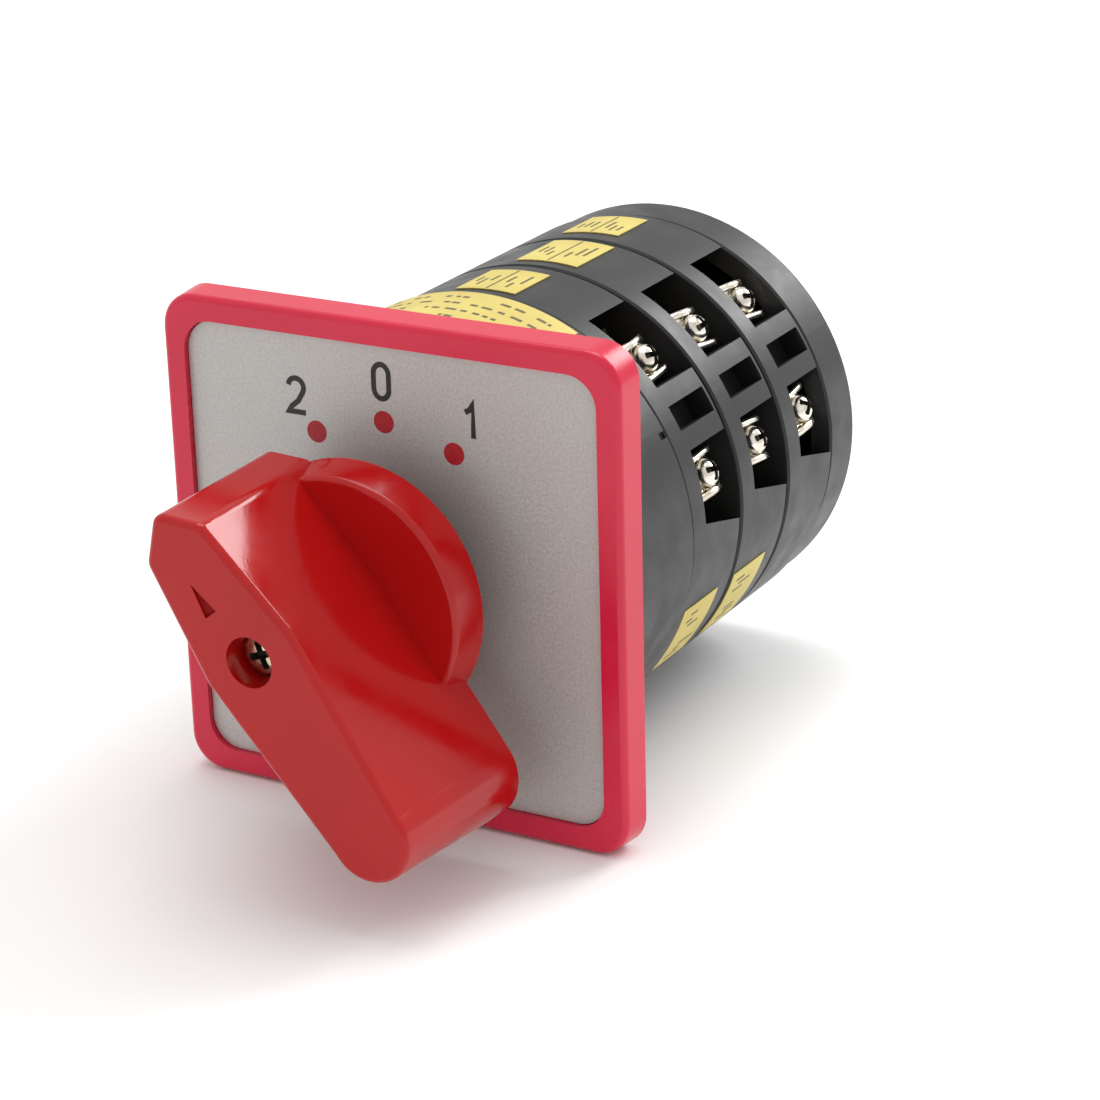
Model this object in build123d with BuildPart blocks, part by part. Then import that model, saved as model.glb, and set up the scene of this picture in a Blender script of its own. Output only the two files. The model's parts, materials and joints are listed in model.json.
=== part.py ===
from build123d import *
from math import cos, degrees, radians, sin
import os

# Manual transfer switch: a panel-mounted rotary cam switch with three contact stages, positions 2-0-1.
#
# Frame: X to the right, +Y towards the rear, +Z up, millimetres. The origin is the centre of the
# faceplate's back face, on the switch axis, and the handle is at -Y. The contact stages are clocked about
# the axis: their p direction points at the terminals, and their q direction runs through the two moving
# contacts of a stage.

# ---------------------------------------------------------------- driving dimensions
# faceplate and legend
plate_size = 64.0
plate_depth = 4.5
plate_corner = 4.5
plate_draft = 0.3  # per side, over the depth
plate_edge_round = 0.8
legend_pocket_size = 57.3
legend_pocket_depth = 1.6
legend_thickness = 0.8
legend_corner = 4.0
legend_gap = 0.08
mount_spacing = 48.0
mount_hole_radius = 2.15

# drum
clock_angle = 31.0  # of the p direction above +X
front_radius = 28.9
stage_radius = 28.6
rear_radius = 28.3
drum_start = -1.0  # the drum stands this far into the faceplate's back
front_end = 19.8
stage_pitch = 13.9
stages = (1, 2, 3)
rear_end = 69.2
wall = 3.0
floor_depth = 3.6
drum_chamfer = 0.3
rear_round = 1.0
groove_width = 0.9
groove_depth = 0.8
front_groove_width = 0.5
seat_gap = 0.2

# terminals, measured in a stage: p and q across the axis, depth behind the stage's front face
rib_half = 4.33
rib_inner = 16.5
window_half = 15.6
window_front_half = 13.4  # the lower window narrows towards the front
slot_half = 1.7
slot_inner = 25.3
slot_front = 2.7
slot_rear = 12.5
slot_ramp = 2.8
screen_thickness = 1.4
screen_inner = 13.0
post_inner = 13.5
post_end = 13.2
pad_inner = 18.6
pad_thickness = 1.0
pad_low = 5.4
strip_low = 12.5
strip_thickness = 1.2
strip_inner = 5.8
strip_front = 3.8
strip_height = 9.2
terminal_q = 8.1
contact_depth = 9.2  # of the screws, cams and moving contacts
block_half = 2.7
block_depth = 6.4
block_top = 23.6
clamp_half = 2.7
clamp_depth = 6.8
clamp_thickness = 0.7
clamp_height = 2.2  # of the upturned edges, which flare outwards
clamp_flare = 0.45
clamp_edge = 0.5
terminal_shank = 1.25
terminal_shank_length = 8.0
terminal_head = 1.95
terminal_head_height = 1.6
terminal_slot = 0.6
cross_width = 0.8
cross_depth = 1.1

# moving contacts
turn_limit = 37.2  # the handle's stop, each side of the 0 mark
contact_travel = 2.5
cam_low = 8.5
cam_high = cam_low + contact_travel
cam_thickness = 7.6
nose_gap = 0.3
nose_half = 0.8
nose_height = 2.0
plunger_half = 3.0
plunger_thickness = 7.0
peg_radius = 1.2
peg_length = 3.2
tip_p = 7.5
tip_radius = 1.6
tip_height = 0.6
tip_gap = 0.06
bridge_half = 9.3
bridge_width = 6.0
bridge_thickness = 1.0
guide_gap = 0.12
guide_thickness = 1.7
guide_low = 11.7
guide_high = 14.1
spring_radius = 2.1
spring_wire = 0.3
spring_turns = 5
spring_seat = 25.1
seat_peg_radius = 1.3
seat_peg_start = 22.6

# shaft and handle
shaft_square = 8.0
shaft_front = -26.8
shaft_rear = 68.0
hub_radius = 6.9
running_gap = 0.07
socket_gap = 0.05
handle_front = -35.1
handle_back = -12.0
handle_edge_round = 0.9
handle_side_round = 1.8
handle_tip_round = 1.6
handle_waist = 0.5
disc_front = -16.05
disc_back = -11.45
disc_radius = 16.9
disc_front_radius = 15.93
disc_round = 0.8
handle_hub_radius = 7.5
handle_hub_end = 1.0
counterbore_radius = 3.1
counterbore_depth = 5.4
handle_web = 2.7
handle_screw_head = 2.7
handle_screw_head_height = 2.0
handle_screw_shank = 1.5
handle_screw_length = 14.0
handle_washer_thickness = 0.5
arrow_depth = 0.4

# collar, detent, tie bolts and rear bearing
collar_radius = 10.5
collar_front = -8.6
collar_end = 2.5
star_hub_start = 3.0
star_start = 8.0
star_depth = 7.0
star_radius = 12.0
star_notches = 12
notch_radius = 1.9
notch_circle = 12.6
lug_radius = 14.8
lug_half_width = 2.0
stop_gap = 0.3
stop_width = 2.5
stop_offset = 2.8  # of the stop rib's middle, outside the lug's middle radius
detent_radius = 2.2
detent_guide_start = 19.0
detent_length = 8.6
detent_bore_end = 26.4
tie_p = 21.0
tie_radius = 2.0
tie_hole = 2.15
tie_head = 3.5
tie_head_height = 2.4
tie_end = 68.6
nut_radius = 4.0
nut_height = 2.8
nut_pocket = 4.6
nut_pocket_depth = 3.4
bezel_screw_circle = 19.0
bezel_screw_radius = 1.5
bezel_screw_head = 2.8
bezel_screw_end = 8.0
boss_wall = 1.6
rear_wall = 3.2
bearing_boss = 10.0
bearing_radius = 7.0
rear_recess_radius = 8.2
rear_recess_depth = 2.6
clip_thickness = 0.8
clip_radius = 7.6

# stickers and latch mark
label_lift = 0.03
label_thickness = 0.12
rating_label_angles = (62, 150)
rating_label_depths = (1.5, 18.7)
upper_label_angles = {1: (83.6, 100.7), 2: (81.6, 99.4), 3: (85.4, 102.2)}  # hand applied, so uneven
upper_label_depths = {1: (1.8, 10.8), 2: (2.1, 12.2), 3: (2.9, 11.4)}  # behind the stage's front face
lower_label_angles = (-40, -19)
lower_label_depths = (0.4, 9.6)
latch_angles = (29.5, 42)
latch_hook_angles = (28.4, 30.2)
latch_depth = 0.8
latch_width = 0.6
latch_hook_width = 2.0

# ---------------------------------------------------------------- derived dimensions
sides = (1, -1)
contact_letters = {1: "a", -1: "b"}
tie_places = [(tie_p * side, 0) for side in sides]
rear_start = front_end + len(stages) * stage_pitch
pad_top = pad_inner + pad_thickness
clamp_top = block_top + clamp_thickness
terminal_bore = terminal_shank_length - clamp_top + pad_inner + 1  # blind hole in the post
strip_top = strip_low + strip_thickness
bridge_low = strip_top + 2 * tip_height + tip_gap
legend_back = legend_pocket_depth - plate_depth
handle_seat = handle_front + counterbore_depth
handle_socket_end = handle_seat + handle_web
star_middle = star_start + star_depth / 2


# ---------------------------------------------------------------- planes and helpers
def direction(angle):
    """Unit vector at an angle above +X, across the switch axis."""
    return Vector(cos(radians(angle)), 0, sin(radians(angle)))


def polar(radius, angle):
    return (radius * cos(radians(angle)), radius * sin(radians(angle)))


p_axis = direction(clock_angle)
q_axis = direction(clock_angle + 90)


def cross_plane(y):
    """Plane across the switch axis, facing the front: local x is +X and local y is +Z."""
    return Plane(origin=(0, y, 0), x_dir=(1, 0, 0), z_dir=(0, -1, 0))


def stage_plane(y):
    """Plane across the switch axis, facing the front: local x is p and local y is q."""
    return Plane(origin=(0, y, 0), x_dir=p_axis, z_dir=(0, -1, 0))


def handle_plane(y):
    """Plane across the switch axis, facing the front: local y is the way the handle points at rest."""
    return Plane(origin=(0, y, 0), x_dir=direction(turn_limit), z_dir=(0, -1, 0))


def terminal_plane(p, q, y, side):
    """Plane facing out of the drum along p, or along -p on side -1: local x runs to the rear."""
    origin = p_axis * (p * side) + q_axis * q + Vector(0, y, 0)
    return Plane(origin=origin, x_dir=(0, 1, 0), z_dir=p_axis * side)


def contact_plane(q, y, side, p=0.0):
    """Plane facing out of the drum along q, or along -q on side -1: local y runs to the rear."""
    origin = q_axis * (q * side) + p_axis * p + Vector(0, y, 0)
    return Plane(origin=origin, x_dir=p_axis * side, z_dir=q_axis * side)


def ring_sector(inner, outer, low, high):
    """Flat sector of a ring between two angles."""
    with BuildSketch() as sector:
        with BuildLine():
            CenterArc((0, 0), outer, low, high - low)
            CenterArc((0, 0), inner, low, high - low)
            Line(polar(inner, low), polar(outer, low))
            Line(polar(inner, high), polar(outer, high))
        make_face()
    return sector.sketch


def stage_start(stage):
    return front_end + (stage - 1) * stage_pitch


def save(name, builder):
    builder.part.label = name
    export_step(builder.part, f"parts/{name}.step")


# ---------------------------------------------------------------- faceplate
def make_bezel():
    front_size = plate_size - 2 * plate_draft
    with BuildPart() as bezel:
        with BuildSketch(cross_plane(0)):
            RectangleRounded(plate_size, plate_size, plate_corner)
        with BuildSketch(cross_plane(-plate_depth)):
            RectangleRounded(front_size, front_size, plate_corner)
        loft(ruled=True)
        fillet(bezel.faces().sort_by(Axis.Y)[0].edges(), plate_edge_round)
        with BuildSketch(cross_plane(legend_back)):
            RectangleRounded(legend_pocket_size, legend_pocket_size, legend_corner)
        extrude(amount=legend_pocket_depth, mode=Mode.SUBTRACT)
        with BuildSketch(cross_plane(0)):
            Circle(front_radius + seat_gap)
        extrude(amount=-drum_start, mode=Mode.SUBTRACT)
        with BuildSketch(cross_plane(0)):
            Circle(collar_radius + legend_gap)
            with GridLocations(mount_spacing, mount_spacing, 2, 2):
                Circle(mount_hole_radius)
        extrude(amount=plate_depth, mode=Mode.SUBTRACT)
        with Locations(stage_plane(legend_back)):
            with PolarLocations(bezel_screw_circle, 4, start_angle=45):
                CounterSinkHole(bezel_screw_radius + socket_gap, bezel_screw_head + socket_gap)
    return bezel


def make_legend():
    size = legend_pocket_size - 2 * legend_gap
    with BuildPart() as legend:
        with BuildSketch(cross_plane(legend_back)):
            RectangleRounded(size, size, legend_corner)
            Circle(collar_radius + legend_gap, mode=Mode.SUBTRACT)
        extrude(amount=legend_thickness)
    return legend


def make_bezel_screws():
    cone = bezel_screw_head - bezel_screw_radius
    with BuildPart() as screws:
        with BuildSketch(stage_plane(bezel_screw_end)):
            with PolarLocations(bezel_screw_circle, 4, start_angle=45):
                Circle(bezel_screw_radius)
        extrude(amount=bezel_screw_end - legend_back)
        with Locations(stage_plane(legend_back + cone / 2)):
            with PolarLocations(bezel_screw_circle, 4, start_angle=45):
                Cone(bezel_screw_radius, bezel_screw_head, cone)
    return screws


def make_collar():
    with BuildPart() as collar:
        with BuildSketch(cross_plane(collar_end)):
            Circle(collar_radius)
            Circle(handle_hub_radius + running_gap, mode=Mode.SUBTRACT)
        extrude(amount=collar_end - collar_front)
        chamfer(collar.edges().group_by(Axis.Y)[0], 0.4)
    return collar


# ---------------------------------------------------------------- front housing and detent
def make_front_housing():
    stop_reach = (star_radius + lug_radius) / 2
    stop_angle = turn_limit + degrees((lug_half_width + stop_gap + stop_width / 2) / stop_reach)
    with BuildPart() as housing:
        with BuildSketch(stage_plane(front_end)):
            Circle(front_radius)
        extrude(amount=front_end - drum_start)
        with BuildSketch(stage_plane(front_end)):
            Circle(front_radius + 1)
            Circle(front_radius - groove_depth, mode=Mode.SUBTRACT)
        extrude(amount=front_groove_width, mode=Mode.SUBTRACT)
        with BuildSketch(stage_plane(front_end)):
            Circle(front_radius - wall)
            with Locations(*tie_places):
                Circle(tie_head + boss_wall, mode=Mode.SUBTRACT)
            with PolarLocations(bezel_screw_circle, 4, start_angle=45):
                Circle(bezel_screw_radius + boss_wall, mode=Mode.SUBTRACT)
            for side in sides:
                with Locations((0, side * front_radius)):
                    guide_length = 2 * (front_radius - detent_guide_start)
                    Rectangle(4 * detent_radius, guide_length, mode=Mode.SUBTRACT)
                stop_place = polar(stop_reach + stop_offset, side * stop_angle)
                with Locations(Location((*stop_place, 0), side * stop_angle)):
                    Rectangle(bezel_screw_circle - star_radius, stop_width, mode=Mode.SUBTRACT)
        extrude(amount=front_end - collar_end, mode=Mode.SUBTRACT)
        for side in sides:
            with BuildSketch(contact_plane(detent_guide_start - 1, star_middle, side)):
                Circle(detent_radius + guide_gap)
            extrude(amount=detent_bore_end - detent_guide_start + 1, mode=Mode.SUBTRACT)
        with BuildSketch(stage_plane(front_end)):
            with Locations(*tie_places):
                Circle(tie_hole)
        extrude(amount=front_end - drum_start, mode=Mode.SUBTRACT)
        with BuildSketch(stage_plane(drum_start)):
            with Locations(*tie_places):
                Circle(tie_head + guide_gap)
        extrude(amount=-tie_head_height, mode=Mode.SUBTRACT)
        with BuildSketch(stage_plane(drum_start)):
            with PolarLocations(bezel_screw_circle, 4, start_angle=45):
                Circle(bezel_screw_radius + socket_gap)
        extrude(amount=drum_start - bezel_screw_end, mode=Mode.SUBTRACT)
        with BuildSketch(stage_plane(drum_start)):
            Circle(collar_radius + socket_gap)
        extrude(amount=drum_start - collar_end, mode=Mode.SUBTRACT)
        with BuildSketch(cross_plane(front_end)):
            add(ring_sector(front_radius - latch_depth, front_radius + 1, *latch_angles))
        extrude(amount=latch_width, mode=Mode.SUBTRACT)
        with BuildSketch(cross_plane(front_end)):
            add(ring_sector(front_radius - latch_depth, front_radius + 1, *latch_hook_angles))
        extrude(amount=latch_hook_width, mode=Mode.SUBTRACT)
    return housing


def make_detent_star():
    """Star wheel with a valley every 30 degrees and the lug that stops the handle."""
    with BuildPart() as star:
        with BuildSketch(stage_plane(star_start + star_depth)):
            Circle(star_radius)
            with Locations(Location((*polar(lug_radius - 2.5, turn_limit), 0), turn_limit)):
                Rectangle(5.0, 2 * lug_half_width)
            with PolarLocations(notch_circle, star_notches, start_angle=turn_limit):
                Circle(notch_radius, mode=Mode.SUBTRACT)
            with Locations(Location((*polar(lug_radius - 3.5, turn_limit), 0), turn_limit)):
                Rectangle(7.0, 2 * lug_half_width)
        extrude(amount=star_depth)
        with BuildSketch(stage_plane(front_end - socket_gap)):
            Circle(hub_radius)
        extrude(amount=front_end - socket_gap - star_hub_start)
        with BuildSketch(handle_plane(front_end)):
            Rectangle(shaft_square + 2 * socket_gap, shaft_square + 2 * socket_gap)
        extrude(amount=front_end, mode=Mode.SUBTRACT)
    return star


def make_detent_plungers():
    with BuildPart() as plungers:
        for side in sides:
            with BuildSketch(contact_plane(star_radius + nose_gap, star_middle, side)):
                Circle(detent_radius)
            extrude(amount=detent_length)
        fillet(plungers.edges().filter_by(inner_detent_edge), 1.4)
    return plungers


def inner_detent_edge(edge):
    return edge.center(CenterOf.MASS).sub(Vector(0, star_middle, 0)).length < star_radius + 1


def make_detent_springs():
    low = star_radius + nose_gap + detent_length + 0.3
    height = detent_bore_end - low - 0.4
    return make_coils(low, height, star_middle, sides, detent_radius - 0.6, 0.25, 5)


def make_coils(low, height, y, coil_sides, radius, wire, turns):
    """Coil springs whose axes run along q, one for each side."""
    with BuildPart() as coils:
        for side in coil_sides:
            start = contact_plane(low, y, side)
            with BuildLine() as path:
                Helix(height / turns, height, radius, center=start.origin, direction=start.z_dir)
            with BuildSketch(Plane(origin=path.line @ 0, z_dir=path.line % 0)):
                Circle(wire)
            sweep(path=path.line, is_frenet=True)
    return coils


# ---------------------------------------------------------------- contact stages
def make_stage_housing(stage):
    start = stage_start(stage)
    end = start + stage_pitch
    inner_radius = stage_radius - wall
    with BuildPart() as housing:
        with BuildSketch(stage_plane(start + floor_depth)):
            Circle(stage_radius)
        extrude(amount=floor_depth)
        chamfer(housing.edges().group_by(Axis.Y)[0], drum_chamfer)
        with BuildSketch(stage_plane(end)):
            Circle(stage_radius)
            Circle(inner_radius, mode=Mode.SUBTRACT)
            for side in sides:
                with Locations((side * (rib_inner + stage_radius - 1) / 2, 0)):
                    Rectangle(stage_radius - 1 - rib_inner, 2 * rib_half)
                for edge in sides:
                    with Locations(
                        (
                            side * (screen_inner + inner_radius - 4) / 2,
                            edge * (window_half + screen_thickness / 2),
                        )
                    ):
                        Rectangle(inner_radius - 4 - screen_inner, screen_thickness)
        extrude(amount=stage_pitch - floor_depth)
        with BuildSketch(stage_plane(start + post_end)):
            for side in sides:
                for edge in sides:
                    with Locations(
                        (side * (post_inner + pad_inner) / 2, edge * (rib_half + strip_low) / 2)
                    ):
                        Rectangle(pad_inner - post_inner, strip_low - rib_half)
                    with Locations(
                        (
                            side * (plunger_half + guide_gap + guide_thickness / 2),
                            edge * (guide_low + guide_high) / 2,
                        )
                    ):
                        Rectangle(guide_thickness, guide_high - guide_low)
        extrude(amount=post_end - floor_depth)
        for side in sides:
            with BuildSketch(terminal_plane(pad_inner, 0, start, side)):
                with BuildLine():
                    Polyline(
                        (floor_depth, rib_half),
                        (stage_pitch, rib_half),
                        (stage_pitch, window_half),
                        (floor_depth, window_half),
                        close=True,
                    )
                make_face()
                with BuildLine():
                    Polyline(
                        (floor_depth, -rib_half),
                        (stage_pitch, -rib_half),
                        (stage_pitch, -window_half),
                        (floor_depth, -window_front_half),
                        close=True,
                    )
                make_face()
            extrude(amount=stage_radius, mode=Mode.SUBTRACT)
            with BuildSketch(contact_plane(-slot_half, start, side)):
                with BuildLine():
                    Polyline(
                        (slot_inner, slot_front + slot_ramp),
                        (stage_radius + 1, slot_front),
                        (stage_radius + 1, slot_rear),
                        (slot_inner, slot_rear),
                        close=True,
                    )
                make_face()
            extrude(amount=2 * slot_half, mode=Mode.SUBTRACT)
            for edge in sides:
                with BuildSketch(
                    terminal_plane(pad_inner, edge * terminal_q, start + contact_depth, side)
                ):
                    Circle(terminal_shank + 2 * socket_gap)
                extrude(amount=-terminal_bore, mode=Mode.SUBTRACT)
            with BuildSketch(contact_plane(seat_peg_start, start + contact_depth, side)):
                Circle(seat_peg_radius)
            extrude(amount=inner_radius + 1 - seat_peg_start)
        with BuildSketch(stage_plane(end)):
            Circle(hub_radius + running_gap)
            with Locations(*tie_places):
                Circle(tie_hole)
        extrude(amount=stage_pitch, mode=Mode.SUBTRACT)
        with BuildSketch(stage_plane(end)):
            Circle(stage_radius + 1)
            Circle(stage_radius - groove_depth, mode=Mode.SUBTRACT)
        extrude(amount=groove_width, mode=Mode.SUBTRACT)
    return housing


def make_fixed_contacts(stage):
    """Four strips, each from a contact tip inside to a threaded terminal block in its window."""
    start = stage_start(stage)
    end = start + strip_front + strip_height
    with BuildPart() as contacts:
        with BuildSketch(stage_plane(end)):
            for side in sides:
                for edge in sides:
                    strip_middle = (side * (strip_inner + pad_top) / 2, edge * (strip_low + strip_top) / 2)
                    with Locations(strip_middle):
                        Rectangle(pad_top - strip_inner, strip_thickness)
                    pad_middle = (side * (pad_inner + pad_top) / 2, edge * (pad_low + strip_top) / 2)
                    with Locations(pad_middle):
                        Rectangle(pad_thickness, strip_top - pad_low)
        extrude(amount=strip_height)
        middle = start + contact_depth
        for side in sides:
            for edge in sides:
                with BuildSketch(terminal_plane(pad_top, edge * terminal_q, middle, side)):
                    Rectangle(block_depth, 2 * block_half)
                extrude(amount=block_top - pad_top)
                with BuildSketch(terminal_plane(block_top, edge * terminal_q, middle, side)):
                    Circle(terminal_shank + socket_gap)
                extrude(amount=pad_inner - 1 - block_top, mode=Mode.SUBTRACT)
                with BuildSketch(contact_plane(strip_top, middle, edge, side * tip_p)):
                    Circle(tip_radius)
                extrude(amount=tip_height)
    return contacts


def clamp_outline():
    """Section of a saddle clamp: local x is its height and local y its width."""
    lip = clamp_half + clamp_flare
    with BuildSketch() as section:
        with BuildLine():
            Polyline(
                (0, -clamp_half),
                (clamp_height, -lip),
                (clamp_height, clamp_edge - lip),
                (clamp_thickness, clamp_edge - clamp_half),
                (clamp_thickness, clamp_half - clamp_edge),
                (clamp_height, lip - clamp_edge),
                (clamp_height, lip),
                (0, clamp_half),
                close=True,
            )
        make_face()
    return section.sketch


def make_clamp_washers(stage):
    """Saddle clamps under the screw heads, with both edges turned up."""
    middle = stage_start(stage) + contact_depth
    with BuildPart() as washers:
        with BuildSketch(stage_plane(middle + clamp_depth / 2)):
            for side in sides:
                for edge in sides:
                    with Locations(Location((side * block_top, edge * terminal_q, 0), 90 - 90 * side)):
                        add(clamp_outline())
        extrude(amount=clamp_depth)
        for side in sides:
            for edge in sides:
                with BuildSketch(terminal_plane(block_top, edge * terminal_q, middle, side)):
                    Circle(terminal_shank + 3 * socket_gap)
                extrude(amount=clamp_thickness, mode=Mode.SUBTRACT)
    return washers


def make_terminal_screws(stage):
    """Pan-head screws: a straight rim, a sloping crown with a cross recess, and a shank into the post."""
    start = stage_start(stage)
    rim = terminal_head_height / 2
    with BuildPart() as screws:
        for side in sides:
            for edge in sides:
                place = (edge * terminal_q, start + contact_depth, side)
                with BuildSketch(terminal_plane(clamp_top, *place)):
                    Circle(terminal_head)
                extrude(amount=rim)
                with BuildSketch(terminal_plane(clamp_top + rim, *place)):
                    Circle(terminal_head)
                extrude(amount=rim, taper=35)
                with BuildSketch(terminal_plane(clamp_top, *place)):
                    Circle(terminal_shank)
                extrude(amount=-terminal_shank_length)
                with BuildSketch(terminal_plane(clamp_top + terminal_head_height, *place)):
                    Rectangle(1.3 * terminal_head, terminal_slot)
                    Rectangle(terminal_slot, 1.3 * terminal_head)
                extrude(amount=-cross_depth, mode=Mode.SUBTRACT)
    return screws


def make_cam(stage):
    """Cam that lifts contact a outwards and lets contact b in, evenly over the whole turn."""
    middle = stage_start(stage) + contact_depth
    rise_end = 90 + turn_limit * 2
    fall_end = 270 + turn_limit * 2
    half_rise = (cam_low + cam_high) / 2
    with BuildPart() as cam:
        with BuildSketch(stage_plane(middle + cam_thickness / 2)):
            with BuildLine():
                CenterArc((0, 0), cam_low, fall_end - 360, 450 - fall_end)
                rise_middle = polar(half_rise, 90 + turn_limit)
                ThreePointArc(polar(cam_low, 90), rise_middle, polar(cam_high, rise_end))
                CenterArc((0, 0), cam_high, rise_end, 270 - rise_end)
                fall_middle = polar(half_rise, 270 + turn_limit)
                ThreePointArc(polar(cam_high, 270), fall_middle, polar(cam_low, fall_end))
            make_face()
        extrude(amount=cam_thickness)
        with BuildSketch(stage_plane(stage_start(stage + 1) - socket_gap)):
            Circle(hub_radius)
        extrude(amount=stage_pitch - 2 * socket_gap)
        with BuildSketch(handle_plane(stage_start(stage + 1))):
            Rectangle(shaft_square + 2 * socket_gap, shaft_square + 2 * socket_gap)
        extrude(amount=stage_pitch, mode=Mode.SUBTRACT)
    return cam


def contact_shift(side):
    """Contact a starts closed and contact b starts lifted by the cam."""
    return 0.0 if side == 1 else contact_travel


def make_plunger(stage, side):
    middle = stage_start(stage) + contact_depth
    top = bridge_low + contact_shift(side)
    nose = cam_low + nose_gap + contact_shift(side)
    with BuildPart() as plunger:
        with BuildSketch(stage_plane(middle + plunger_thickness / 2)):
            with BuildLine():
                Polyline(
                    (-plunger_half, side * top),
                    (plunger_half, side * top),
                    (plunger_half, side * (nose + nose_height)),
                    (nose_half, side * nose),
                    (-nose_half, side * nose),
                    (-plunger_half, side * (nose + nose_height)),
                    close=True,
                )
            make_face()
        extrude(amount=plunger_thickness)
        with BuildSketch(contact_plane(top, middle, side)):
            Circle(peg_radius)
        extrude(amount=bridge_thickness + peg_length)
    return plunger


def make_bridge(stage, side):
    """Moving contact bar with a tip at each end."""
    middle = stage_start(stage) + contact_depth
    low = bridge_low + contact_shift(side)
    with BuildPart() as bridge:
        with BuildSketch(contact_plane(low, middle, side)):
            Rectangle(2 * bridge_half, bridge_width)
            Circle(peg_radius + socket_gap, mode=Mode.SUBTRACT)
        extrude(amount=bridge_thickness)
        with BuildSketch(contact_plane(low, middle, side)):
            with Locations((tip_p, 0), (-tip_p, 0)):
                Circle(tip_radius)
        extrude(amount=-tip_height)
    return bridge


def make_contact_spring(stage, side):
    low = bridge_low + contact_shift(side) + bridge_thickness + spring_wire + 0.1
    height = spring_seat - spring_wire - low
    middle = stage_start(stage) + contact_depth
    return make_coils(low, height, middle, (side,), spring_radius, spring_wire, spring_turns)


# ---------------------------------------------------------------- rear cover and tie bolts
def make_rear_cover():
    with BuildPart() as cover:
        with BuildSketch(stage_plane(rear_end)):
            Circle(rear_radius)
        extrude(amount=rear_end - rear_start)
        fillet(cover.edges().group_by(Axis.Y)[-1], rear_round)
        chamfer(cover.edges().group_by(Axis.Y)[0], drum_chamfer)
        with BuildSketch(stage_plane(rear_end - rear_wall)):
            Circle(rear_radius - wall)
            Circle(bearing_boss, mode=Mode.SUBTRACT)
            with Locations(*tie_places):
                Circle(nut_pocket + boss_wall, mode=Mode.SUBTRACT)
        extrude(amount=rear_end - rear_wall - rear_start, mode=Mode.SUBTRACT)
        with BuildSketch(stage_plane(rear_end)):
            with Locations(*tie_places):
                Circle(nut_pocket)
        extrude(amount=nut_pocket_depth, mode=Mode.SUBTRACT)
        with BuildSketch(stage_plane(rear_end)):
            Circle(rear_recess_radius)
        extrude(amount=rear_recess_depth, mode=Mode.SUBTRACT)
        with BuildSketch(stage_plane(rear_end)):
            Circle(bearing_radius + running_gap)
            with Locations(*tie_places):
                Circle(tie_hole)
        extrude(amount=rear_end - rear_start, mode=Mode.SUBTRACT)
    return cover


def make_tie_bolts():
    head_end = drum_start + tie_head_height
    with BuildPart() as bolts:
        with BuildSketch(stage_plane(tie_end)):
            with Locations(*tie_places):
                Circle(tie_radius)
        extrude(amount=tie_end - head_end)
        with BuildSketch(stage_plane(head_end)):
            with Locations(*tie_places):
                Circle(tie_head)
        extrude(amount=tie_head_height - socket_gap)
        with BuildSketch(stage_plane(drum_start + socket_gap)):
            with Locations(*tie_places):
                Rectangle(1.4 * tie_head, cross_width)
                Rectangle(cross_width, 1.4 * tie_head)
        extrude(amount=-cross_depth, mode=Mode.SUBTRACT)
    return bolts


def make_tie_nuts():
    floor = rear_end - nut_pocket_depth
    with BuildPart() as nuts:
        with BuildSketch(stage_plane(floor + nut_height)):
            with Locations(*tie_places):
                RegularPolygon(nut_radius, 6)
                Circle(tie_radius + socket_gap, mode=Mode.SUBTRACT)
        extrude(amount=nut_height)
    return nuts


# ---------------------------------------------------------------- shaft and handle
def make_shaft():
    with BuildPart() as shaft:
        with BuildSketch(handle_plane(shaft_rear)):
            Rectangle(shaft_square, shaft_square)
        extrude(amount=shaft_rear - shaft_front)
        chamfer(shaft.edges().filter_by(Axis.Y), 0.5)
        with BuildSketch(handle_plane(shaft_front)):
            Circle(handle_screw_shank + socket_gap)
        extrude(amount=-handle_screw_length, mode=Mode.SUBTRACT)
    return shaft


def make_rear_bushing():
    """Round bush on the square shaft, which runs in the rear cover."""
    end = rear_end - rear_recess_depth
    with BuildPart() as bushing:
        with BuildSketch(handle_plane(end)):
            Circle(bearing_radius)
            Rectangle(shaft_square + 2 * socket_gap, shaft_square + 2 * socket_gap, mode=Mode.SUBTRACT)
        extrude(amount=end - rear_start - socket_gap)
    return bushing


def make_retaining_clip():
    start = rear_end - rear_recess_depth + 2 * socket_gap
    with BuildPart() as clip:
        with BuildSketch(handle_plane(start + clip_thickness)):
            Circle(clip_radius)
            Rectangle(shaft_square + 2 * socket_gap, shaft_square + 2 * socket_gap, mode=Mode.SUBTRACT)
        extrude(amount=clip_thickness)
    return clip


def handle_outline(tip, shoulder, shoulder_half, waist_half, tail_half, end):
    """Pointer outline seen from the front, with its tip towards +y and a round tail tangent to its sides."""
    drop = handle_waist - end - tail_half
    taper = (waist_half - tail_half) / drop
    tail = end + tail_half * (1 + taper)
    reach = tail_half * (1 + taper**2) ** 0.5
    with BuildSketch() as outline:
        with BuildLine():
            Polyline(
                (-tail_half, tail),
                (-waist_half, handle_waist),
                (-shoulder_half, shoulder),
                (0, tip),
                (shoulder_half, shoulder),
                (waist_half, handle_waist),
                (tail_half, tail),
            )
            ThreePointArc((tail_half, tail), (0, tail - tail_half * taper - reach), (-tail_half, tail))
        make_face()
        fillet([v for v in outline.vertices() if v.Y > handle_waist - 1 and abs(v.X) > 1], handle_side_round)
        fillet(outline.vertices().sort_by(Axis.Y)[-1], handle_tip_round)
    return outline.sketch


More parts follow.
